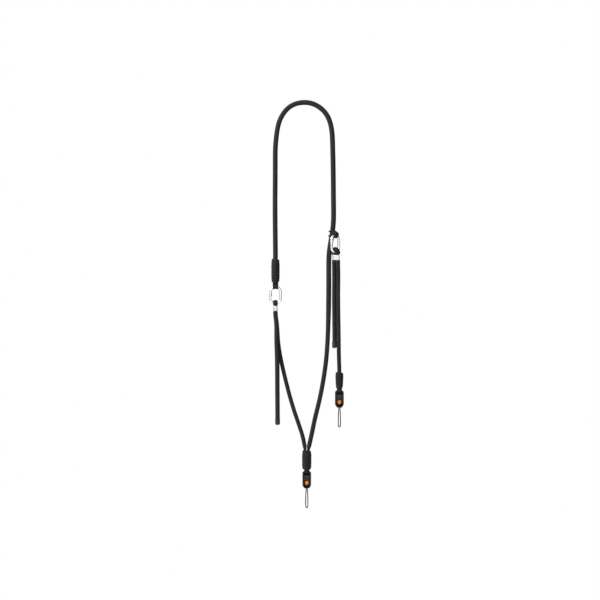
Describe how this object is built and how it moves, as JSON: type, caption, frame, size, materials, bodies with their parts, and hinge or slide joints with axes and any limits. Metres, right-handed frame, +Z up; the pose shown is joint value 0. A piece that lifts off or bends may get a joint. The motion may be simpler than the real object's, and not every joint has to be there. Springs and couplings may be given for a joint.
{
  "type": "crossbody camera strap",
  "caption": "Braided rope camera strap hanging from its middle, with cord whippings, spring rings, crimped ferrules and quick-release camera loops.",
  "frame": {"origin": "the underside of the main rope at the top of its arch, where a hook or a shoulder carries the strap", "axes": "+Z up along the hanging strap, +X to the right, and the front with the release plates faces -Y"},
  "size_m": [0.1385, 0.0257, 0.7585],
  "materials": {
    "rope": "black braided sheath, fine dull weave",
    "whipping_cord": "black waxed cord, tight turns with a faint sheen",
    "rope_cap": "black sealed sleeve, semi-matt",
    "ring_metal": "bright polished metal",
    "ferrule_metal": "bright pressed metal",
    "moulded_black": "black moulded plastic, fine satin texture",
    "anchor_orange": "orange moulded plastic, soft gloss",
    "loop_cord": "thin dark grey braided cord"
  },
  "bodies": {
    "strap": {"main_rope": "rope", "left_rope": "rope", "right_rope": "rope", "left_eye": "rope", "side_eye": "rope", "lower_eye": "rope", "left_rope_end": "rope_cap", "right_rope_end": "rope_cap", "left_whipping": "whipping_cord", "side_whipping": "whipping_cord", "lower_whipping": "whipping_cord", "right_hitch": "whipping_cord", "left_ring": "ring_metal", "right_ring": "ring_metal", "left_gate_pin": "ring_metal", "right_gate_pin": "ring_metal", "left_ferrule": "ferrule_metal", "right_ferrule": "ferrule_metal", "side_housing": "moulded_black", "lower_housing": "moulded_black", "side_latch": "moulded_black", "lower_latch": "moulded_black", "side_anchor": "anchor_orange", "lower_anchor": "anchor_orange", "side_cord": "loop_cord", "lower_cord": "loop_cord"},
    "left_gate": {"left_gate": "ring_metal"},
    "right_gate": {"right_gate": "ring_metal"}
  },
  "joints": [
    {"name": "left_gate_hinge", "type": "hinge", "parent": "strap", "child": "left_gate", "pos_m": [-0.06215, 0, -0.35865], "axis": [0, 1, 0], "range_deg": [0, 40], "stiffness_Nm_per_rad": 0.05, "springref_deg": -22.92},
    {"name": "right_gate_hinge", "type": "hinge", "parent": "strap", "child": "right_gate", "pos_m": [0.05119, -0.01491, -0.26285], "axis": [-0.682, 0.7314, 0], "range_deg": [0, 40], "stiffness_Nm_per_rad": 0.05, "springref_deg": -22.92}
  ]
}
